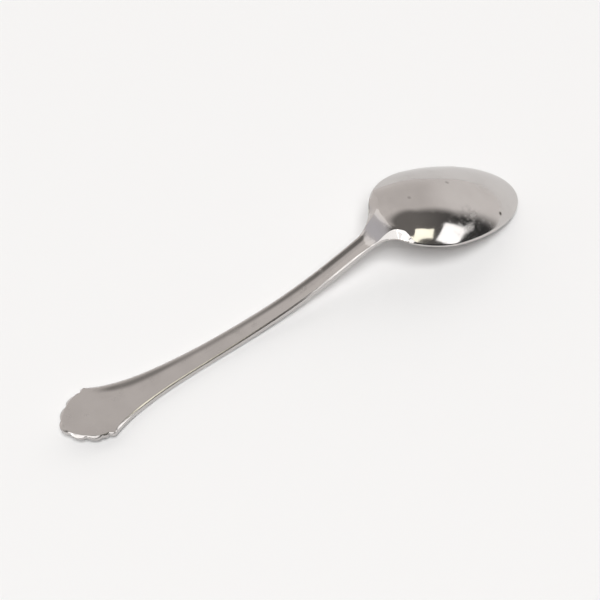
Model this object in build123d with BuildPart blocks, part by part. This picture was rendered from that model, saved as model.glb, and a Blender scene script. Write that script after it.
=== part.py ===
# A one-piece teaspoon lying face down, as five named stretches from the handle's end to the bowl.
#
# +X runs from the handle's end to the bowl's tip, +Y across, +Z up. The origin is the middle of
# the spoon's footprint on the table. The spoon rests on a short level stretch of the handle's
# front and on the tip of the bowl's rim. The stretches meet face to face at planes across X.
import os
from math import asin, atan2, cos, degrees, hypot, radians, sin, sqrt, tan

from build123d import *

# Lengths of the stretches, measured along X
end_length = 11.0            # scalloped end, from its middle lobe to the shoulders
blade_length = 29.0          # flared part of the handle
stem_length = 44.0           # slender part of the handle
neck_length = 14.0           # from the stem to the bowl's heel
heel_setback = 15.0          # from the bowl's heel to its widest place
bowl_front = 27.0            # from the bowl's widest place to its tip

# Widths
shoulder_width = 15.6        # across the two shoulders of the handle's end
blade_corner_width = 6.2     # where the blade's sloping and straight edges would cross
blade_corner_setback = 14.2  # from the shoulders to that crossing
waist_width = 5.8            # where the blade becomes the stem
stem_width = 4.4             # where the stem becomes the neck
bowl_width = 28.0
bowl_back = 18.1             # the heel half of the egg-shaped rim, as an ellipse's half length
flare_angle = 25.0           # where on that ellipse the neck's flare leaves it, in degrees
flare_radius = 70.0          # inside curve of the blade's edges

# Scalloped end: each notch as its distance from the end and its half width
outer_notch = (10.0, 6.95)
middle_notch = (5.1, 5.6)
inner_notch = (1.6, 2.15)
shoulder_bulge = 0.25
outer_lobe_bulge = 0.75
inner_lobe_bulge = 0.55

# Thickness and the curve of the handle seen from the side
handle_thickness = 2.4
end_thickness = 1.7          # at the tip of the middle lobe
edge_radius = 0.6            # rounding of the handle's long edges
lobe_edge_radius = 0.35      # rounding of the scallops' edges
rest_start = 29.0            # from the handle's end to the level stretch that it rests on
rest_length = 8.0
end_curve_radius = 160.0
end_curve_angle = 5.7
stem_curve_radius = 190.0
stem_curve_angle = 7.3
neck_curve_radius = 91.0
flat_crown = 0.05            # crown of the neck's faces where it meets the stem
neck_steps = 14              # sections along the neck
heel_blend_power = 4         # how late along the neck the bowl's curves take over

# Bowl
bowl_depth = 6.6             # from the rim's plane to the top of the dome
dome_centre_drop = 16.0      # how far the dome's centre lies beyond the rim's plane
bowl_wall = 1.2
rim_band = 0.6               # height of the rim's upright edge
rim_edge_radius = 0.2
tip_flat = 0.3               # how much of the rim's tip is cut level, as a small flat to rest on

# Stations along X
length = end_length + blade_length + stem_length + neck_length + heel_setback + bowl_front
x_end = -length / 2
x_shoulder = x_end + end_length
x_waist = x_shoulder + blade_length
x_neck = x_waist + stem_length
x_heel = x_neck + neck_length
x_wide = x_heel + heel_setback
x_tip = x_wide + bowl_front
x_rest = x_end + rest_start
x_bend = x_rest + rest_length
blank_height = length        # taller than any stretch, for trimming to a plan outline

# Side curve: two arcs rise from the level stretch to the neck, the second one tighter
first_turn = radians(stem_curve_angle)
bend_x = x_bend + stem_curve_radius * sin(first_turn)
bend_z = stem_curve_radius * (1 - cos(first_turn))
neck_centre_x = bend_x - neck_curve_radius * sin(first_turn)
neck_centre_z = bend_z + neck_curve_radius * cos(first_turn)
neck_turn = degrees(asin((x_heel - neck_centre_x) / neck_curve_radius)) - stem_curve_angle


def handle_height(x, above):
    """Height of the second arc at x, moved up from the handle's front by a thickness."""
    return neck_centre_z - sqrt((neck_curve_radius - above) ** 2 - (x - neck_centre_x) ** 2)


# Rim plane: it leaves the neck's edges at the heel and dips just under the table at the tip
z_heel_edge = handle_height(x_heel, handle_thickness)
z_heel_rim = z_heel_edge - rim_band
rim_tilt = atan2(z_heel_rim + tip_flat, x_tip - x_heel)
z_wide = bowl_front * tan(rim_tilt) - tip_flat
rim_plane = Plane(
    origin=(x_wide, 0, z_wide),
    x_dir=(cos(rim_tilt), 0, -sin(rim_tilt)),
    z_dir=(sin(rim_tilt), 0, cos(rim_tilt)),
)

# Dome: two half ellipsoids that share their width and height, cut through the egg-shaped outline
dome_rise = dome_centre_drop + bowl_depth
rim_share = sqrt(1 - ((dome_centre_drop + rim_band) / dome_rise) ** 2)
dome_half_width = bowl_width / 2 / rim_share
dome_front_reach = bowl_front / cos(rim_tilt) / rim_share
dome_back_reach = bowl_back / cos(rim_tilt) / rim_share
dome_place = rim_plane.offset(-dome_centre_drop).location


def dome_half(reach, inset, keep):
    """One half of the dome as a solid, with its skin moved in by inset."""
    rise = dome_rise - inset
    with BuildPart() as half:
        Sphere(rise, rotation=(90, 0, 0))
        scale(by=((reach - inset) / rise, (dome_half_width - inset) / rise, 1))
        split(bisect_by=Plane.YZ, keep=keep)
    return half.part.moved(dome_place)


def heel_height(y, inset):
    """Height of the dome's skin over the heel plane at y, with the skin moved in by inset."""
    a = dome_back_reach - inset
    b = dome_half_width - inset
    h = dome_rise - inset
    along = (x_heel - x_wide) * cos(rim_tilt)
    above = (x_heel - x_wide) * sin(rim_tilt) + dome_centre_drop
    square = (sin(rim_tilt) / a) ** 2 + (cos(rim_tilt) / h) ** 2
    linear = above * cos(rim_tilt) / h**2 - along * sin(rim_tilt) / a**2
    constant = (along / a) ** 2 + (above / h) ** 2 + (y / b) ** 2 - 1
    return z_wide + (sqrt(linear**2 - square * constant) - linear) / square


def side_edges(piece, plane_a, plane_b):
    """The edges of a piece that run along it, leaving out those in its two end planes."""
    cut = 1e-4
    inside = piece.edges().filter_by_position(Axis.X, plane_a + cut, plane_b - cut)
    return inside.filter_by(Axis.Z, reverse=True)


# Side view of the handle: its front line with the thickness added above it
with BuildSketch(Plane.XZ) as handle_side:
    with BuildLine():
        tails = []
        for above in (0, handle_thickness):
            level = Line((x_rest, above), (x_bend, above))
            stem_arc = JernArc(level @ 1, (1, 0), stem_curve_radius - above, stem_curve_angle)
            neck_arc = JernArc(stem_arc @ 1, stem_arc % 1, neck_curve_radius - above, neck_turn)
            end_arc = JernArc(level @ 0, (-1, 0), end_curve_radius - above, -end_curve_angle)
            tails.append((end_arc @ 1, neck_arc @ 1))
        back_run = ((tails[1][0]).X - x_end) / cos(radians(end_curve_angle))
        back_end = Line(tails[1][0], tails[1][0] + (end_arc % 1) * back_run)
        front_end = Line(tails[0][0], (back_end @ 1) - (0, end_thickness))
        Line(back_end @ 1, front_end @ 1)
        Line(tails[0][1], tails[1][1])
    make_face()

# Plan outline of the scalloped end, half of it drawn and mirrored
outer = (x_end + outer_notch[0], outer_notch[1])
middle = (x_end + middle_notch[0], middle_notch[1])
inner = (x_end + inner_notch[0], inner_notch[1])
with BuildSketch() as end_plan:
    with BuildLine():
        TangentArc((x_end, 0), inner, tangent=(0, 1))
        SagittaArc(inner, middle, inner_lobe_bulge)
        SagittaArc(middle, outer, outer_lobe_bulge)
        shoulder_arc = SagittaArc(outer, (x_shoulder, shoulder_width / 2), shoulder_bulge)
        Line(shoulder_arc @ 1, (x_shoulder, 0))
        mirror(about=Plane.XZ)
    make_face()

# Plan outline of the blade
blade_corner = (x_shoulder + blade_corner_setback, blade_corner_width / 2)
with BuildSketch() as blade_plan:
    with BuildLine():
        Line((x_shoulder, 0), (x_shoulder, shoulder_width / 2))
        blade_edge = FilletPolyline(
            (x_shoulder, shoulder_width / 2),
            blade_corner,
            (x_waist, waist_width / 2),
            radius=flare_radius,
        )
        Line(blade_edge @ 1, (x_waist, 0))
        mirror(about=Plane.XZ)
    make_face()

# Plan outline of the stem
with BuildSketch() as stem_plan:
    with BuildLine():
        stem_edge = Line((x_waist, waist_width / 2), (x_neck, stem_width / 2))
        Line((x_waist, 0), stem_edge @ 0)
        Line(stem_edge @ 1, (x_neck, 0))
        mirror(about=Plane.XZ)
    make_face()

# Plan outline of the neck and bowl: an egg of two half ellipses, and a flare that leaves the egg
# along its tangent and runs into the neck's straight edge
flare_turn = radians(flare_angle)
leave = (x_wide - bowl_back * cos(flare_turn), bowl_width / 2 * sin(flare_turn))
slope = bowl_width / 2 * cos(flare_turn) / (bowl_back * sin(flare_turn))
corner_x = leave[0] - (leave[1] - stem_width / 2) / slope
flare_reach = hypot(leave[0] - corner_x, leave[1] - stem_width / 2)
arrive = (corner_x - flare_reach, stem_width / 2)
with BuildSketch() as spoon_plan:
    with BuildLine():
        EllipticalCenterArc((x_wide, 0), bowl_front, bowl_width / 2, start_angle=0, arc_size=90)
        EllipticalCenterArc(
            (x_wide, 0), bowl_back, bowl_width / 2, start_angle=90, arc_size=90 - flare_angle
        )
        TangentArc(arrive, leave, tangent=(1, 0))
        Line((x_neck, stem_width / 2), arrive)
        Line((x_neck, 0), (x_neck, stem_width / 2))
        mirror(about=Plane.XZ)
    make_face()

# Scalloped end of the handle
with BuildPart() as handle_end:
    extrude(handle_side.sketch, amount=shoulder_width, both=True)
    extrude(end_plan.sketch, amount=blank_height, both=True, mode=Mode.INTERSECT)
    fillet(side_edges(handle_end, x_end, x_shoulder), lobe_edge_radius)
handle_end.part.label = "handle_end"

# Flared blade of the handle
with BuildPart() as handle_blade:
    extrude(handle_side.sketch, amount=shoulder_width, both=True)
    extrude(blade_plan.sketch, amount=blank_height, both=True, mode=Mode.INTERSECT)
    fillet(side_edges(handle_blade, x_shoulder, x_waist), edge_radius)
handle_blade.part.label = "handle_blade"

# Slender stem
with BuildPart() as stem:
    extrude(handle_side.sketch, amount=shoulder_width, both=True)
    extrude(stem_plan.sketch, amount=blank_height, both=True, mode=Mode.INTERSECT)
    fillet(side_edges(stem, x_waist, x_neck), edge_radius)
stem.part.label = "stem"

# Neck: a strip that is flat at the stem and takes the dome's two curves at the heel
flare_arc_radius = flare_reach / tan(atan2(slope, 1) / 2)
heel_half_width = bowl_width / 2 * sqrt(1 - (heel_setback / bowl_back) ** 2)
hollow_sag = heel_height(0, bowl_wall) - z_heel_rim


def neck_half_width(x):
    """Half width of the plan outline between the stem and the heel."""
    if x <= arrive[0]:
        return stem_width / 2
    if x <= leave[0]:
        return stem_width / 2 + flare_arc_radius - sqrt(flare_arc_radius**2 - (x - arrive[0]) ** 2)
    return bowl_width / 2 * sqrt(1 - ((x - x_wide) / bowl_back) ** 2)


with BuildPart() as neck:
    for step in range(neck_steps + 1):
        share = step / neck_steps
        x = x_neck + neck_length * share
        half = neck_half_width(x)
        blend = share**heel_blend_power
        heel_rise = blend * (heel_height(0, 0) - z_heel_edge)
        top = handle_height(x, handle_thickness) + heel_rise
        hollow_rise = blend * (heel_height(0, bowl_wall) - handle_height(x_heel, 0))
        bottom = handle_height(x, 0) + hollow_rise
        top_edge = top - flat_crown - blend * (heel_height(0, 0) - heel_height(half, 0))
        low_edge = bottom - flat_crown - blend * hollow_sag * (half / heel_half_width) ** 2
        with BuildSketch(Plane.YZ.offset(x)) as section:
            with BuildLine():
                ThreePointArc((-half, top_edge), (0, top), (half, top_edge))
                Line((half, top_edge), (half, low_edge))
                ThreePointArc((half, low_edge), (0, bottom), (-half, low_edge))
                Line((-half, low_edge), (-half, top_edge))
            make_face()
            fillet(section.vertices(), edge_radius + blend * (rim_edge_radius - edge_radius))
    loft()
neck.part.label = "neck"

# Bowl: the dome less its hollow, trimmed to the egg, to the rim's plane, to the heel and to the table
with BuildPart() as bowl:
    add(dome_half(dome_front_reach, 0, Keep.TOP))
    add(dome_half(dome_back_reach, 0, Keep.BOTTOM))
    add(dome_half(dome_front_reach, bowl_wall, Keep.TOP), mode=Mode.SUBTRACT)
    add(dome_half(dome_back_reach, bowl_wall, Keep.BOTTOM), mode=Mode.SUBTRACT)
    extrude(spoon_plan.sketch, amount=blank_height, both=True, mode=Mode.INTERSECT)
    split(bisect_by=rim_plane, keep=Keep.TOP)
    split(bisect_by=Plane.YZ.offset(x_heel), keep=Keep.TOP)
    rim_face = bowl.faces().filter_by(rim_plane).sort_by(SortBy.AREA)[-1]
    fillet(side_edges(rim_face, x_heel, x_tip + bowl_wall), rim_edge_radius)
    split(bisect_by=Plane.XY, keep=Keep.TOP)
bowl.part.label = "bowl"

os.makedirs("parts", exist_ok=True)
for piece in (handle_end, handle_blade, stem, neck, bowl):
    export_step(piece.part, f"parts/{piece.part.label}.step")
    box = piece.part.bounding_box()
    print(piece.part.label, round(piece.part.volume, 2), box.min, box.max)
print("length", length, "rim tilt", round(degrees(rim_tilt), 2), "heel edge", round(z_heel_edge, 2))
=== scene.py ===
# %% [markdown]
# # A polished teaspoon, lying face down
#
# The CAD model gives this spoon as five solids in a row: the scalloped end of the handle, its flared
# blade, the slender stem, the neck and the bowl. They have the right size and place. What they lack
# is what a polisher leaves behind: a back that is dished between two soft lips, a heel that kicks up
# into the bowl, edges that roll over, and steel that mirrors the room. This lesson makes that skin
# around the solids, cuts it at the same four planes and lights it.

from math import atan2, cos, exp, pi, radians, sin, sqrt, tan

import bmesh
import bpy
from mathutils import Matrix, Vector


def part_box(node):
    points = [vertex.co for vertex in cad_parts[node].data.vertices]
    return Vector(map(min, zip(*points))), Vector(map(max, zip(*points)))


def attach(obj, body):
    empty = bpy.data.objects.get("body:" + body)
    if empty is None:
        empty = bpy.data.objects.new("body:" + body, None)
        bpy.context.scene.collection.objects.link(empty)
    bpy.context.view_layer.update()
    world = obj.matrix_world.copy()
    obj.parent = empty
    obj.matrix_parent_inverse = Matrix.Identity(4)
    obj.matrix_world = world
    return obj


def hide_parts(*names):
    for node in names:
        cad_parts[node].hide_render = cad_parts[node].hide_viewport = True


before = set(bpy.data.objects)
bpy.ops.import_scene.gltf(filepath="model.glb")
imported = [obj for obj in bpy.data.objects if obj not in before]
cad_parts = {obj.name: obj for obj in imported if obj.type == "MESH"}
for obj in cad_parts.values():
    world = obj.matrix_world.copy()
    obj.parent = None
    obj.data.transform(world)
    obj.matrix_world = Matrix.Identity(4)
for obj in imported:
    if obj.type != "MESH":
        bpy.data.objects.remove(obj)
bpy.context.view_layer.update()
MM = 0.001

# %% [markdown]
# ## Stations
#
# All sizes in this script are in millimetres until the skin is finished, because a spoon is easier to
# think about that way. The places where one stretch ends and the next begins are read off the frame,
# so the skin follows the solids when they are packed again. +X runs from the handle's end to the
# bowl's tip and +Z is up.

# %% Read the stations off the frame
end_low, end_high = (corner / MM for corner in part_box("handle_end"))
blade_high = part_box("handle_blade")[1] / MM
stem_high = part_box("stem")[1] / MM
neck_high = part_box("neck")[1] / MM
bowl_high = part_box("bowl")[1] / MM
x_end = end_low.x
x_shoulder = end_high.x
x_waist = blade_high.x
x_neck = stem_high.x
x_heel = neck_high.x
x_tip = bowl_high.x
shoulder_half = blade_high.y
bowl_half = bowl_high.y
print("stations:", [round(x, 2) for x in (x_end, x_shoulder, x_waist, x_neck, x_heel, x_tip)])

# %% [markdown]
# ## The outline seen from above
#
# The outline could be traced as one long list of points, but every stretch of it has a simple rule.
# The scallops are arcs between notches. The blade's edge falls away from the shoulder as an
# exponential curve does, fast at first and then ever slower. The flare at the neck is one arc, and
# the bowl is an egg made of two half ellipses. Each row of the skin starts on this outline, so the
# outline is kept as rows: a point, a number that is 1 in a notch and 0 where the edge runs free, a
# number that narrows the bevel along the end, and the width and depth of the lobe's own facet. That
# facet is nearly as wide as the edge stands out beyond the straight line between two notches, which
# makes it one flat cut.

# %% Draw the outline
notches = [(1.3, 2.1), (4.4, 5.1), (7.8, 6.85), (9.6, 7.0)]  # from the end, out from the middle
lobe_bulges = [1.3, 0.85, 0.75, 0.35, 0.36]
lobe_facet = 0.85
lobe_slopes = [0.3, 0.78, 0.78, 0.78, 0.78]
lobe_rows = [28, 20, 18, 12, 12]
stem_half = 2.2
stem_taper = 0.0045
blade_decay = 11.4
blade_row_step = 0.8
notch_fade = 1.0
heel_setback = 15.0
bowl_back = 18.1
flare_angle = radians(25)
flare_rows = 26
egg_back_rows = 44
egg_front_rows = 84
x_wide = x_heel + heel_setback
bowl_front = x_tip - x_wide


def arc(start, stop, bulge, steps):
    """Points from start on, short of stop, along an arc that bows out by bulge on its left."""
    along = stop - start
    left = Vector((-along.y, along.x)).normalized()
    half_turn = 2 * atan2(2 * bulge, along.length)
    radius = along.length / 2 / sin(half_turn)
    centre = (start + stop) / 2 + left * (bulge - radius)
    angles = [half_turn * (1 - 2 * step / steps) for step in range(steps)]
    ahead = along.normalized()
    return [centre + radius * (cos(angle) * left - sin(angle) * ahead) for angle in angles]


def egg(turn, reach):
    """A point of the egg-shaped rim, a turn away from its widest place."""
    return Vector((x_wide + reach * sin(turn), bowl_half * cos(turn)))


rows = []
lobe_corners = [Vector((x_end + along, out)) for along, out in notches]
lobe_corners.insert(0, lobe_corners[0] * Vector((1, -1)))
lobe_corners.append(Vector((x_shoulder, shoulder_half)))
for lobe, steps in enumerate(lobe_rows):
    start, stop = lobe_corners[lobe], lobe_corners[lobe + 1]
    across = Vector((start.y - stop.y, stop.x - start.x)).normalized()
    for step, point in enumerate(arc(start, stop, lobe_bulges[lobe], steps)):
        if lobe or step >= steps / 2:
            facet = lobe_facet * across.dot(point - start)
            rows.append((point, cos(pi * step / steps) ** 2, 1, facet, lobe_slopes[lobe] * facet))

leave = egg(flare_angle - pi / 2, bowl_back)
leave_slope = bowl_half * cos(flare_angle) / (bowl_back * sin(flare_angle))
tangent_run = (leave.y - stem_half) / sin(atan2(leave_slope, 1))
x_flare = leave.x - (leave.y - stem_half) / leave_slope - tangent_run
blade_swell = shoulder_half - stem_half - stem_taper * (x_flare - x_shoulder)
blade_rows = round((x_flare - x_shoulder) / blade_row_step)
for step in range(blade_rows):
    run = (x_flare - x_shoulder) * step / blade_rows
    taper = stem_taper * (x_flare - x_shoulder - run)
    half = stem_half + taper + blade_swell * exp(-run / blade_decay)
    fade = exp(-run / notch_fade)
    rows.append((Vector((x_shoulder + run, half)), fade, fade, 0, 0))

arrive = Vector((x_flare, stem_half))
flare_sag = (leave - arrive).length / 2 * tan(atan2(leave_slope, 1) / 4)
rows += [(point, 0, 0, 0, 0) for point in arc(arrive, leave, -flare_sag, flare_rows)]
for step in range(egg_back_rows):
    rows.append((egg((flare_angle - pi / 2) * (1 - step / egg_back_rows), bowl_back), 0, 0, 0, 0))
for step in range(egg_front_rows + 1):
    rows.append((egg(pi / 2 * step / egg_front_rows, bowl_front), 0, 0, 0, 0))
rows[-1][0].y = 0
print("outline rows:", len(rows), "flare starts at", round(x_flare, 2))

# %% [markdown]
# ## The spoon seen from the side
#
# Lying face down, the handle touches the table on a short level stretch. From there it bends up on
# two arcs towards the neck and on one arc towards its end. The same arcs with a smaller radius give
# the back, a thickness higher. Where the stem reaches the neck its slope stays steady, and then the
# heel kicks up.

# %% Bend the handle
handle_thickness = 2.4
end_thickness = 1.7
end_taper = 13.0
rest_from_end = 29.0
rest_length = 8.0
x_rest = x_end + rest_from_end
x_bend = x_rest + rest_length
end_radius, end_turn = 160.0, radians(5.7)
stem_radius, stem_turn = 190.0, radians(7.3)
neck_radius, neck_turn = 91.0, radians(20.5)
bend_x = x_bend + stem_radius * sin(stem_turn)
bend_z = stem_radius * (1 - cos(stem_turn))
neck_centre_x = bend_x - neck_radius * sin(stem_turn)
neck_centre_z = bend_z + neck_radius * cos(stem_turn)


def rise_on(radius, turn, run):
    """Rise of an arc that starts level, after a run along X; past its turn it goes on straight."""
    reach = radius * sin(turn)
    if run < reach:
        return radius - sqrt(radius**2 - run**2)
    return radius * (1 - cos(turn)) + (run - reach) * tan(turn)


def side_height(x, above):
    """Height of the handle's side curve at x, at a distance above its front."""
    if x < x_rest:
        return above + rise_on(end_radius - above, end_turn, x_rest - x)
    if x < x_bend + (stem_radius - above) * sin(stem_turn):
        return above + rise_on(stem_radius - above, stem_turn, max(0, x - x_bend))
    foot = neck_centre_z - neck_radius + above
    return foot + rise_on(neck_radius - above, neck_turn, x - neck_centre_x)


def front_height(x):
    """Height of the handle's front, which comes up to the back a little near the end."""
    thinning = max(0, 1 - (x - x_end) / end_taper)
    return side_height(x, 0) + thinning * (handle_thickness - end_thickness)


print("back of the stem at the neck:", round(side_height(x_neck, handle_thickness), 2))

# %% [markdown]
# ## The bowl
#
# The back of the bowl is a dome: two half ellipsoids, one towards the tip and one towards the heel,
# that share their width and height. The rim's plane cuts through it and tilts down to the table at
# the tip. Moving every half axis in by the wall gives the hollow.

# %% Shape the dome
rim_band = 0.6
tip_flat = 0.3
bowl_depth = 6.6
dome_centre_drop = 16.0
bowl_wall = 1.2
z_heel_rim = 17.0
rim_tilt = atan2(z_heel_rim + tip_flat, x_tip - x_heel)
z_wide = bowl_front * tan(rim_tilt) - tip_flat
dome_rise = dome_centre_drop + bowl_depth
rim_share = sqrt(1 - ((dome_centre_drop + rim_band) / dome_rise) ** 2)
dome_half_width = bowl_half / rim_share
dome_reaches = [reach / cos(rim_tilt) / rim_share for reach in (bowl_front, bowl_back)]


def rim_height(x):
    """Height of the rim's plane."""
    return z_wide - (x - x_wide) * tan(rim_tilt)


def dome(x, y, inset):
    """Height of the dome over a point, with its skin moved in by inset."""
    along = (x - x_wide) * cos(rim_tilt)
    above = (x - x_wide) * sin(rim_tilt) + dome_centre_drop
    wide = dome_half_width - inset
    high = dome_rise - inset
    for reach in dome_reaches:  # the half towards the tip, or else the one towards the heel
        long = reach - inset
        square = (sin(rim_tilt) / long) ** 2 + (cos(rim_tilt) / high) ** 2
        linear = above * cos(rim_tilt) / high**2 - along * sin(rim_tilt) / long**2
        constant = (along / long) ** 2 + (above / high) ** 2 + (y / wide) ** 2 - 1
        rise = (sqrt(max(0, linear**2 - square * constant)) - linear) / square
        if along > rise * sin(rim_tilt):
            break
    return z_wide + rise


print("dome over its widest place:", round(dome(x_wide, 0, 0), 2))
print("dome over the heel:", round(dome(x_heel, 0, 0), 2))

# %% [markdown]
# ## Joining handle and bowl
#
# A hard maximum or minimum of two heights leaves a crease. A soft one rounds it over a chosen width,
# as a polishing wheel does, so the back of the spoon is written as one sentence: the stem, or the
# kick of the heel where that is higher, but never above the dome. The front is the same sentence with
# the hollow in place of the dome.

# %% Soft steps and soft joins


def smooth(value, low, high):
    """0 below low, 1 above high and an even S between."""
    share = min(1, max(0, (value - low) / (high - low)))
    return share * share * (3 - 2 * share)


def soft_min(a, b, width):
    """The smaller of two heights, with the crease rounded over a width."""
    overlap = max(0, width - abs(a - b))
    return min(a, b) - overlap * overlap / (4 * width)


def soft_max(a, b, width):
    """The larger of two heights, with the crease rounded over a width."""
    return -soft_min(-a, -b, width)


print("soft minimum of 1 and 1 over a width of 1:", soft_min(1, 1, 1))

# %% [markdown]
# ## The back
#
# Between its two lips the back of the handle is dished by a few tenths of a millimetre. That is too
# little to see as a shape, but a mirror doubles every slope, so the dish draws the dark band along the
# far lip. The heel is the other thing that the eye goes to: a flat ramp that meets the dome, with the
# dome polished down a little behind it.

# %% Write the back as a height
x_middle = 0.0
kick_x = x_heel - 5.7
kick_angle = radians(44)
kick_soft = 1.0
kick_margin = 3.0
heel_soft = 0.3
heel_edge_soft = 2.2
ease_reach = 7.0
ease_stop = 4.0
ease_rate = 0.026
ease_edge = 0.75
stem_bevel = 0.42
dish_run = 3.4
dish_share = 0.75
dish_slope = 0.053
dish_blade_slope = 0.08
dish_neck_slope = 0.072
dish_start = 9.0
dish_full = 17.0
blade_dish_start = x_shoulder + 8.0
blade_dish_end = x_waist + 10.0


def heel_ease(x, edge):
    """How far the dome is polished down over the heel, less so towards its edges."""
    back = max(0, x_heel + ease_reach - max(x, x_heel - ease_stop))
    return ease_rate * back**2 * (1 - ease_edge * edge**2)


def back_height(x, y, depth, reach):
    """Height of the back at a point that lies depth in from the outline, on a row reach long."""
    edge = 1 - depth / reach
    slope_run = min(dish_run, dish_share * reach)
    share = min(1, max(0, depth - stem_bevel) / slope_run)
    steepness = dish_slope + (dish_neck_slope - dish_slope) * smooth(x, x_middle, x_neck)
    steepness += (dish_blade_slope - dish_slope) * (1 - smooth(x, blade_dish_start, blade_dish_end))
    dish = steepness * slope_run * (1 - (1 - share) ** 3 * (1 + 3 * share))
    stem = side_height(x, handle_thickness) - dish * smooth(x - x_end, dish_start, dish_full)
    if x < kick_x - kick_margin:
        return stem
    kick = side_height(kick_x, handle_thickness) + tan(kick_angle) * (x - kick_x)
    soft = heel_soft + heel_edge_soft * edge**2
    return soft_min(soft_max(stem, kick, kick_soft), dome(x, y, 0) - heel_ease(x, edge), soft)


kick_stations = [kick_x + step for step in (-2, 0, 2, 4, 6, 8)]
kick_heights = [back_height(x, 0, stem_half, stem_half) for x in kick_stations]
print("back over the kick:", [round(height, 2) for height in kick_heights])

# %% [markdown]
# ## The front
#
# The front lies on the table. Spoons of this kind carry their ornament there: a raised thread along
# the handle's edge and flutes that run in from the notches. It is kept low, and it fades out towards
# the neck, where the front turns into the hollow of the bowl.

# %% Write the front as a height
neck_wall = 3.0
neck_edge_thinning = 0.5
heel_rim_drop = 0.8
heel_rim_length = 9.0
thread_depth = 0.2
thread_width = 1.0
flute_depth = 0.4
flute_sharpness = 1.5


def front_face_height(x, y, depth, reach, valley):
    """Height of the front at a point that lies depth in from the outline."""
    edge = 1 - depth / reach
    field = thread_depth * smooth(depth, thread_width, 2 * thread_width)
    flute = flute_depth * valley**flute_sharpness * smooth(depth, 0, thread_width) * edge
    stem = front_height(x) + (field + flute) * (1 - smooth(x, x_middle, x_neck))
    if x < kick_x - kick_margin:
        return stem
    wall = neck_wall * (1 - neck_edge_thinning * edge**2 * smooth(x, x_neck, x_heel))
    kick = side_height(kick_x, handle_thickness) + tan(kick_angle) * (x - kick_x) - wall
    rim = rim_height(x) - heel_rim_drop * (1 - smooth(x, x_heel, x_heel + heel_rim_length))
    hollow = max(0, soft_max(dome(x, y, bowl_wall) - heel_ease(x, edge), rim, rim_band))
    return soft_min(soft_max(stem, kick, kick_soft), hollow, rim_band)


front_heights = [front_face_height(x, 0, stem_half, stem_half, 0) for x in kick_stations]
print("front under the kick:", [round(height, 2) for height in front_heights])

# %% [markdown]
# ## The skin
#
# A flat grid is the easiest mesh to think about: one side of it runs along the outline, the other
# goes from the middle of the back, over the edge and to the middle of the front. Each vertex is then
# moved to its place on the spoon. A row leaves the outline along its normal until it is past the edge,
# and from there it runs straight to the spine. Towards both ends of the spoon the rows lean in, so that
# they don't cross, and the columns crowd towards the edge, where the shape changes fastest. Half a
# spoon is enough, because its two sides are alike.

# %% Lay out rows and columns
face_columns = 24
edge_columns = 9
wall_columns = 3
spread = 1.4
end_gather_length = 20.0
end_gather = 0.78
tip_gather = 1 - (bowl_half / bowl_front) ** 2


def spine_x(x):
    """Where a row that starts on the outline at x meets the middle of the spoon."""
    x_gather = x_end + end_gather_length
    if x < x_gather:
        return x_gather + (x - x_gather) * end_gather
    return x_wide + (x - x_wide) * tip_gather if x > x_wide else x


def outward(index):
    """The outline's normal at a row, from its two neighbours, with the mirrored side past the ends."""
    flip = Vector((1, -1))
    before = rows[index - 1][0] if index else rows[1][0] * flip
    after = rows[index + 1][0] if index + 1 < len(rows) else rows[-2][0] * flip
    along = after - before
    return Vector((-along.y, along.x)).normalized()


columns = [("back", (1 - step / face_columns) ** spread) for step in range(face_columns)]
columns += [("back edge", pi / 2 * (1 - step / edge_columns)) for step in range(edge_columns)]
columns += [("wall", step / wall_columns) for step in range(wall_columns)]
columns += [("front edge", pi / 2 * step / edge_columns) for step in range(edge_columns)]
columns += [("front", (step / face_columns) ** spread) for step in range(face_columns + 1)]
print("columns:", len(columns), "rows:", len(rows))

# %% [markdown]
# ## The edges
#
# A bevel modifier would round every edge alike, but this edge changes as it goes round the spoon. The
# bowl's rim and the front's edges are quarter circles. Along the handle's back a nearly flat bevel
# catches the windows as a thin bright line. Each lobe adds its own flat facet, and on the flank of the
# neck the edge widens into a straight ramp. So the edge is worked out row by row: how far it reaches
# in, how far it goes down, and how flat it is between.

# %% Shape the edges
rim_edge = 0.3
rim_blend_start = x_heel - 2.0
rim_blend_end = x_heel + 8.0
shoulder_bevel = 0.2
shoulder_bevel_length = 9.0
bevel_slope = 0.62
shoulder_slope = 0.14
shoulder_slope_length = 8.0
notch_pinch = 0.5
bevel_flatness = 0.9
lip_fade = 0.7
lip_fade_start = x_neck + 2.0
lip_fade_end = x_neck + 7.0
flare_roll_in = 2.2
flare_roll_down = 1.0
flare_roll_start = x_heel - 5.0
flare_roll_full = x_heel - 0.7
flare_roll_end = x_heel + 2.7
flare_ramp_full = 0.4
back_edge_share = 0.62
front_edge = 1.0
front_edge_share = 0.45


def flank(x):
    """1 in the middle of the neck's flank and 0 away from it."""
    past = smooth(x, flare_roll_full, flare_roll_end)
    return smooth(x, flare_roll_start, flare_roll_full) * (1 - past)


def bevel(x, pinch, to_rim):
    """How far the back's bevel reaches in and down at x, before lobes and flank are added."""
    past = max(0, x - x_shoulder)
    wide = stem_bevel + shoulder_bevel * exp(-past / shoulder_bevel_length) - notch_pinch * pinch
    wide *= 1 - lip_fade * smooth(x, lip_fade_start, lip_fade_end)
    deep = wide * (bevel_slope + shoulder_slope * exp(-past / shoulder_slope_length))
    return wide + (rim_edge - wide) * to_rim, deep + (rim_edge - deep) * to_rim


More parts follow.
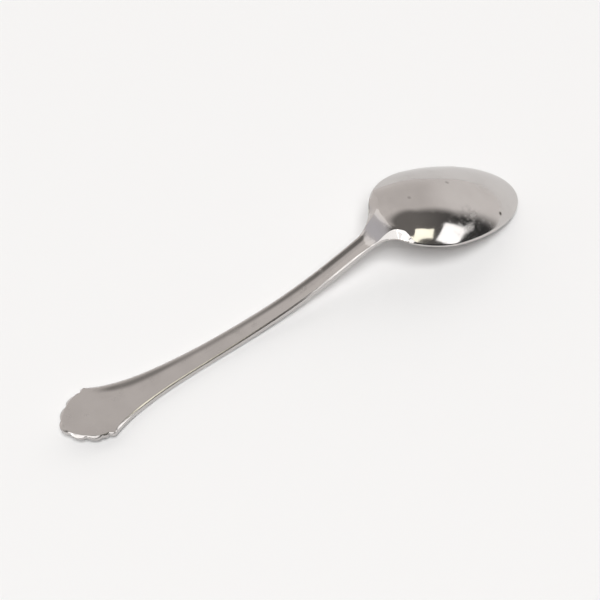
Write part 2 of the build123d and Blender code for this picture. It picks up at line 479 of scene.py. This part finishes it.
def place(index, zone, value):
    """The point of the skin on a row of the outline, for one column."""
    point, valley, pinch, lobe_in, lobe_down = rows[index]
    normal = outward(index)
    spine = Vector((spine_x(point.x), 0))
    reach = (spine - point).length
    top = back_height(point.x, point.y, 0, reach)
    low = front_face_height(point.x, point.y, 0, reach, valley)
    to_rim = smooth(point.x, rim_blend_start, rim_blend_end)
    flare = flank(point.x)
    bevel_in, bevel_down = bevel(point.x, pinch, to_rim)
    flatness = bevel_flatness * (1 - to_rim)
    back_down = min(bevel_down + flare_roll_down * flare + lobe_down, back_edge_share * (top - low))
    front_down = min(front_edge + (rim_edge - front_edge) * to_rim, front_edge_share * (top - low))
    if zone == "wall":
        return Vector((*point, top - back_down + (low + front_down - top + back_down) * value))
    if "back" in zone:
        roll_in = min(bevel_in + flare_roll_in * flare + lobe_in, reach / 2)
        roll_down = back_down
    else:
        roll_in = roll_down = front_down
        flatness = 0
    inset, drop = roll_in, 0
    if "edge" in zone:
        share = 2 * value / pi
        inset = roll_in * ((1 - flatness) * (1 - cos(value)) + flatness * share)
        drop = roll_down * ((1 - flatness) * (1 - sin(value)) + flatness * (1 - share))
    flat = point - normal * inset
    if "edge" not in zone:
        flat = flat.lerp(spine, value)
    depth = (flat - point).length
    if zone == "back edge":
        crest = point - normal * roll_in
        crest_height = back_height(*crest, roll_in, reach)
        ramp = crest_height + (top - roll_down - crest_height) * (1 - share)
        rolled = back_height(*flat, depth, reach) - drop
        return Vector((*flat, rolled + (ramp - rolled) * smooth(flare, 0, flare_ramp_full)))
    if "back" in zone:
        return Vector((*flat, back_height(*flat, depth, reach) - drop))
    return Vector((*flat, front_face_height(*flat, depth, reach, valley) + drop))


middle_of_rim = place(len(rows) // 2, "wall", 0)
print("a point of the edge in mm:", [round(value, 2) for value in middle_of_rim])

# %% [markdown]
# ## Moving the grid
#
# The skin could be extruded and bevelled piece by piece, but then every join would have to be smoothed
# again, and polished steel shows the smallest dent. Here each vertex already has a row and a column,
# and with them a place. What is left to do is to move it there, mirror the half and weld it.

# %% Move a grid onto the spoon and mirror it
weld = 1e-4
skin = bmesh.new()
last_row = len(rows) - 1
last_column = len(columns) - 1
bmesh.ops.create_grid(skin, x_segments=last_column, y_segments=last_row, size=1)
for vertex in skin.verts:
    row = round((vertex.co.y + 1) / 2 * last_row)
    column = round((vertex.co.x + 1) / 2 * last_column)
    vertex.co = place(row, *columns[column])
whole = skin.verts[:] + skin.edges[:] + skin.faces[:]
bmesh.ops.mirror(skin, geom=whole, axis="Y", merge_dist=weld)
bmesh.ops.remove_doubles(skin, verts=skin.verts, dist=weld)
bmesh.ops.dissolve_degenerate(skin, edges=skin.edges, dist=weld)
bmesh.ops.recalc_face_normals(skin, faces=skin.faces)
bmesh.ops.scale(skin, vec=(MM, MM, MM), verts=skin.verts)
open_edges = [edge for edge in skin.edges if not edge.is_manifold]
print("skin faces:", len(skin.faces), "open edges:", len(open_edges))
print("skin volume in mm3:", round(skin.calc_volume() / MM**3, 1))

# %% [markdown]
# ## Five stretches
#
# A library part is easier to reuse when its stretches are separate, so the skin is cut where the
# solids are cut. Each cut is closed with a flat face. On its own a cut piece would get new shading
# along the cut and the mirror finish would show a seam there. So each vertex of the whole skin keeps
# its normal in a layer first. The cuts pass that layer on to the vertices that they add, and both
# sides of a cut are shaded alike. The skin is finished here, so from now on a size is in metres unless
# MM stands next to it.

# %% Cut the skin into its stretches
stretches = ["handle_end", "handle_blade", "stem", "neck", "bowl"]
cuts = [x_shoulder * MM, x_waist * MM, x_neck * MM, x_heel * MM]
cut_tolerance = 1e-7
kept_normal = skin.verts.layers.float_vector.new("kept_normal")
skin.normal_update()
for vertex in skin.verts:
    vertex[kept_normal] = vertex.normal


def cut_off(mesh, x, keep_high):
    """Cuts a mesh across X, keeps one side and closes the cut."""
    geometry = mesh.verts[:] + mesh.edges[:] + mesh.faces[:]
    side = {"clear_inner": keep_high, "clear_outer": not keep_high}
    plane = {"plane_co": (x, 0, 0), "plane_no": (1, 0, 0)}
    bmesh.ops.bisect_plane(mesh, geom=geometry, dist=cut_tolerance, **plane, **side)
    border = [edge for edge in mesh.edges if edge.is_boundary]
    caps = bmesh.ops.holes_fill(mesh, edges=border, sides=0)["faces"]
    for cap in caps:
        cap.smooth = False


def stretch_object(name, low, high):
    """One stretch of the skin as an object that stands for the CAD node of the same name."""
    part = skin.copy()
    for face in part.faces:
        face.smooth = True
    if low is not None:
        cut_off(part, low, True)
    if high is not None:
        cut_off(part, high, False)
    mesh = bpy.data.meshes.new(name + "_skin")
    part.to_mesh(mesh)
    part.free()
    normals = [Vector(item.vector) for item in mesh.attributes["kept_normal"].data]
    corners = [Vector((0, 0, 0)) for corner in mesh.loops]
    for polygon in mesh.polygons:
        if polygon.use_smooth:
            for corner in polygon.loop_indices:
                corners[corner] = normals[mesh.loops[corner].vertex_index].normalized()
    mesh.normals_split_custom_set(corners)
    mesh.attributes.remove(mesh.attributes["kept_normal"])
    piece = bpy.data.objects.new(name + "_skin", mesh)
    bpy.context.scene.collection.objects.link(piece)
    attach(piece, "root")
    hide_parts(name)
    return piece


pieces = [stretch_object(*stretch) for stretch in zip(stretches, [None] + cuts, cuts + [None])]
for piece in pieces:
    print(piece.name, "faces:", len(piece.data.polygons))

# %% [markdown]
# ## Shader sums
#
# Node trees are quicker to read as sums. A small class wraps a socket, so that adding or multiplying
# two of them puts a Math node in the tree, and one method makes every other node.

# %% A socket that takes part in sums


class Value:
    """A socket of a node tree, for use in Python expressions."""

    def __init__(self, tree, socket):
        self.tree = tree
        self.socket = socket

    def math(self, operation, first, second):
        """A Math node on two values or numbers."""
        return self.tree.node("ShaderNodeMath", {"operation": operation}, {0: first, 1: second})

    def __add__(self, other):
        return self.math("ADD", self, other)

    def __radd__(self, other):
        return self.math("ADD", other, self)

    def __sub__(self, other):
        return self.math("SUBTRACT", self, other)

    def __rsub__(self, other):
        return self.math("SUBTRACT", other, self)

    def __mul__(self, other):
        return self.math("MULTIPLY", self, other)

    def __rmul__(self, other):
        return self.math("MULTIPLY", other, self)


class Tree:
    """The node tree of a material or a world."""

    def __init__(self, owner):
        owner.use_nodes = True
        self.nodes = owner.node_tree.nodes
        self.links = owner.node_tree.links

    def fill(self, node, inputs):
        """Sets or links the inputs of a node."""
        for key, value in inputs.items():
            socket = node.inputs[key]
            if isinstance(value, Value):
                self.links.new(value.socket, socket)
            else:
                socket.default_value = value

    def node(self, kind, settings=None, inputs=None, output=0):
        """Adds a node, sets it up, fills its sockets and returns one of its outputs."""
        node = self.nodes.new(kind)
        for key, value in (settings or {}).items():
            setattr(node, key, value)
        self.fill(node, inputs or {})
        return Value(self, node.outputs[output])

    def step(self, value, low, high):
        """0 below low and 1 above high, with an even S between."""
        limits = {"Value": value, "From Min": low, "From Max": high}
        return self.node("ShaderNodeMapRange", {"interpolation_type": "SMOOTHSTEP"}, limits)

    def mix(self, share, first, second):
        """A colour between two colours."""
        colours = {0: share, 6: first, 7: second}
        return self.node("ShaderNodeMix", {"data_type": "RGBA"}, colours, 2)


print("a tree can:", [method for method in vars(Tree) if not method.startswith("_")])

# %% [markdown]
# ## Polished steel
#
# Steel has no colour of its own beyond a slightly warm grey, so nearly all of its look is what it
# mirrors and how sharply. Years of use leave three things: hairlines that run with the handle where
# it was polished and wiped, cloudy patches where the gloss is a little duller, most of all where the
# bowl has been rubbed, and a few dark pits. They change the roughness, the normal by a hair and the
# colour hardly at all, except in the pits. The handle as a whole has less gloss than the bowl.

# %% Lay patterns in the steel
pits = [  # place, radius and depth, where 1 is darkest
    ((0.0586, -0.0092, 0.007), 0.0007, 1.0),
    ((0.0489, 0.0021, 0.0154), 0.0008, 0.35),
    ((0.0359, 0.0012, 0.0193), 0.0007, 0.3),
]
pit_core = 0.3
rubbed_place = (0.0482, -0.0095, 0.013)
rubbed_core, rubbed_reach = 0.0015, 0.006
hairline_scale = (60, 1800, 1800)
steel = bpy.data.materials.new("polished_steel")
tree = Tree(steel)
on_spoon = tree.node("ShaderNodeTexCoord", output="Object")


def noise(where, scale, detail):
    """A cloudy pattern: a larger scale makes it finer, and detail adds smaller clouds to it."""
    return tree.node("ShaderNodeTexNoise", inputs={"Vector": where, "Scale": scale, "Detail": detail})


def away_from(spot):
    """The distance to a spot on the spoon."""
    return tree.node("ShaderNodeVectorMath", {"operation": "DISTANCE"}, {0: on_spoon, 1: spot}, 1)


drawn_out = tree.node("ShaderNodeMapping", inputs={"Vector": on_spoon, "Scale": hairline_scale})
hairlines = noise(drawn_out, 1.0, 3.0)
clouds = noise(on_spoon, 110.0, 4.0)
smears = noise(on_spoon, 420.0, 5.0)
along = tree.node("ShaderNodeSeparateXYZ", inputs={0: on_spoon}, output="X")
dull = tree.step(clouds, 0.35, 0.75)
smear = tree.step(smears, 0.58, 0.7)
scratch = tree.step(hairlines, 0.5, 0.75)
satin = 1 - tree.step(along, x_neck * MM, x_heel * MM)
near_rub = 1 - tree.step(away_from(rubbed_place), rubbed_core, rubbed_reach)
rubbed = near_rub * tree.step(smears, 0.42, 0.58)
pit = 0
for spot, radius, depth in pits:
    pit = pit + depth * (1 - tree.step(away_from(spot), pit_core * radius, radius))
print("pattern nodes:", len(tree.nodes))

# %% Make the steel finish
bright_steel = (0.605, 0.58, 0.565, 1)
dull_steel = (0.565, 0.54, 0.525, 1)
pit_colour = (0.12, 0.11, 0.1, 1)
grazing_tint = (0.87, 0.87, 0.87, 1)
mirror_roughness = 0.06
added_roughness = [
    (dull, 0.06),
    (satin, 0.08),
    (smear, 0.1),
    (scratch, 0.05),
    (rubbed, 0.18),
    (pit, 0.3),
]
cloud_relief = 0.6
bump_strength = 0.04
bump_distance = 0.00002
roughness = mirror_roughness
for pattern, amount in added_roughness:
    roughness = roughness + amount * pattern
colour = tree.mix(pit, tree.mix(dull, bright_steel, dull_steel), pit_colour)
relief = hairlines + cloud_relief * clouds - pit
bump_inputs = {"Strength": bump_strength, "Distance": bump_distance, "Height": relief}
bump = tree.node("ShaderNodeBump", inputs=bump_inputs)
shader = tree.nodes["Principled BSDF"]
shader.inputs["Metallic"].default_value = 1.0
shader.inputs["Specular Tint"].default_value = grazing_tint
tree.fill(shader, {"Base Color": colour, "Roughness": roughness, "Normal": bump})
for piece in pieces:
    piece.data.materials.append(steel)
print("steel nodes:", len(tree.nodes))

# %% [markdown]
# ## The table
#
# Polished steel is a picture of what lies around it. The steep sides of the bowl mirror the table, so
# the table reaches much further than the camera sees. It also takes the spoon's shadow. It is plain,
# white and dull, so that it mirrors no windows itself.

# %% Lay the table
floor_size = 3.0
floor_mesh = bmesh.new()
bmesh.ops.create_grid(floor_mesh, x_segments=1, y_segments=1, size=floor_size / 2)
floor_data = bpy.data.meshes.new("table")
floor_mesh.to_mesh(floor_data)
floor_mesh.free()
table = bpy.data.objects.new("table", floor_data)
bpy.context.scene.collection.objects.link(table)
table_white = bpy.data.materials.new("table_white")
table_tree = Tree(table_white)
table_shader = table_tree.nodes["Principled BSDF"]
dull_white = {"Base Color": (0.9, 0.9, 0.9, 1), "Roughness": 0.6, "Specular IOR Level": 0}
table_tree.fill(table_shader, dull_white)
table.data.materials.append(table_white)
print("table:", floor_size, "m wide")

# %% [markdown]
# ## The camera
#
# The spoon is seen from above, past the end of its handle. A long lens from half a metre away keeps
# the bowl and the handle in proportion, where a short lens from close by would swell the nearer end.

# %% Place the camera
camera_place = Vector((-169.985, -254.376, 455.461)) * MM
camera_aim = Vector((2.191, 1.380, 0)) * MM
camera_data = bpy.data.cameras.new("camera")
camera_data.sensor_fit = "HORIZONTAL"
camera_data.sensor_width = 36
camera_data.lens = 127.05
camera = bpy.data.objects.new("camera", camera_data)
camera.location = camera_place
camera.rotation_euler = (camera_aim - camera_place).to_track_quat("-Z", "Y").to_euler()
bpy.context.scene.collection.objects.link(camera)
bpy.context.scene.camera = camera
print("camera distance mm:", round((camera_place - camera_aim).length / MM, 1))

# %% [markdown]
# ## The room
#
# An image of a real room could light the spoon, but a few named colours are easier to change. The far
# side of this room is pale, with one dimmer and one brighter patch, the left is a cooler grey, and the
# near side and the ceiling are dark. The world holds only these soft changes, which the steel shows as
# broad bands.

# %% Paint the room
bpy.context.scene.view_settings.view_transform = "Standard"
horizon = (0.83, 0.8, 0.78, 1)
far_wall = (0.77, 0.735, 0.71, 1)
dim_patch = (0.7, 0.668, 0.645, 1)
bright_patch = (0.87, 0.84, 0.82, 1)
left_wall = (0.6, 0.6, 0.64, 1)
near_wall = (0.045, 0.045, 0.045, 1)
ceiling = (0.2, 0.19, 0.18, 1)
world = bpy.data.worlds.new("room")
bpy.context.scene.world = world
room = Tree(world)
direction = room.node("ShaderNodeTexCoord", output="Generated")
upward = room.node("ShaderNodeSeparateXYZ", inputs={0: direction}, output="Z")


def towards(azimuth, elevation):
    """The direction at an azimuth from +X and an elevation, in degrees."""
    turn, lift = radians(azimuth), radians(elevation)
    return Vector((cos(lift) * cos(turn), cos(lift) * sin(turn), sin(lift)))


def facing(azimuth, elevation):
    """How near the ray's direction is to a given one: 1 along it, 0 across it and -1 against it."""
    ways = {0: direction, 1: towards(azimuth, elevation)}
    return room.node("ShaderNodeVectorMath", {"operation": "DOT_PRODUCT"}, ways, 1)


far_side = room.mix(room.step(upward, 0, 0.3), horizon, far_wall)
far_side = room.mix(room.step(facing(58, 40), 0.8, 0.98), far_side, dim_patch)
far_side = room.mix(room.step(facing(8, 8), 0.8, 1), far_side, bright_patch)
pale_side = room.mix(room.step(facing(180, 0), 0.5, 0.9), far_side, left_wall)
dark_side = room.mix(room.step(upward, 0.3, 1), near_wall, ceiling)
room_colour = room.mix(room.step(facing(-104, 26), -0.02, 0.19), pale_side, dark_side)
room.fill(room.nodes["Background"], {"Color": room_colour, "Strength": 1.0})
print("room nodes:", len(room.nodes))

# %% [markdown]
# ## Windows and lamp
#
# A window in a mirror has a clean edge, which an area lamp has as well. A white and a warm one show in
# the bowl, a row of them to the left of the camera lights up the flank and the lobes, and a dim one
# beyond the stem greys the heel. They are only mirrored and shed no light on the table. One wide lamp
# far away does that instead, and it isn't mirrored, so its place can be chosen for the shadow alone.

# %% Hang the windows and the lamp
window_distance = 1.5
lamp_distance = 12.0
white = (1, 1, 1)
tints = {"warm_strip": (1, 0.985, 0.82)}  # the others are white
tilts = {"warm_strip": Vector((-0.371, 0.124, 0.227))}  # the others hang level
lamp_size = 4.8
lamp_level = 15.6
windows = [  # name, azimuth, elevation, width, height and level
    ("front_window", -35.5, 26, 0.6, 0.6, 1.8),
    ("warm_strip", -50.5, 56.5, 0.76, 0.34, 1.7),
    ("left_window", -178, 28, 1.16, 1.0, 1.38),
    ("high_window", -176, 52, 0.8, 0.45, 1.3),
    ("side_window", -143, 33, 0.66, 0.9, 1.6),
    ("upper_window", -146, 64, 0.72, 0.62, 1.6),
    ("lip_window", -115, 49, 0.48, 0.38, 1.6),
    ("heel_patch", 134, 40, 0.5, 0.5, 0.32),
]


def area_lamp(name, middle, across, width, height, level, colour):
    """A rectangular lamp that faces the spoon and that the camera doesn't see."""
    data = bpy.data.lights.new(name, "AREA")
    data.shape = "RECTANGLE"
    data.size = width
    data.size_y = height
    data.energy = level * pi * width * height
    data.color = colour
    back = middle.normalized()
    side = (across - back * across.dot(back)).normalized()
    lamp = bpy.data.objects.new(name, data)
    lamp.location = middle
    lamp.rotation_euler = Matrix((side, back.cross(side), back)).transposed().to_euler()
    lamp.visible_camera = False
    bpy.context.scene.collection.objects.link(lamp)
    return lamp


for name, azimuth, elevation, *size_and_level in windows:
    middle = window_distance * towards(azimuth, elevation)
    across = tilts.get(name, towards(azimuth + 90, 0))
    pane = area_lamp(name, middle, across, *size_and_level, tints.get(name, white))
    pane.visible_diffuse = False
middle = lamp_distance * towards(-125, 66)
across = towards(-35, 0)
table_light = area_lamp("table_light", middle, across, lamp_size, lamp_size, lamp_level, white)
table_light.visible_glossy = False
print("lamps:", len(bpy.data.lights))

# %% [markdown]
# ## The box of the solids
#
# A part is placed by the box of its solids, so the skin has to stay inside that box. Both are written
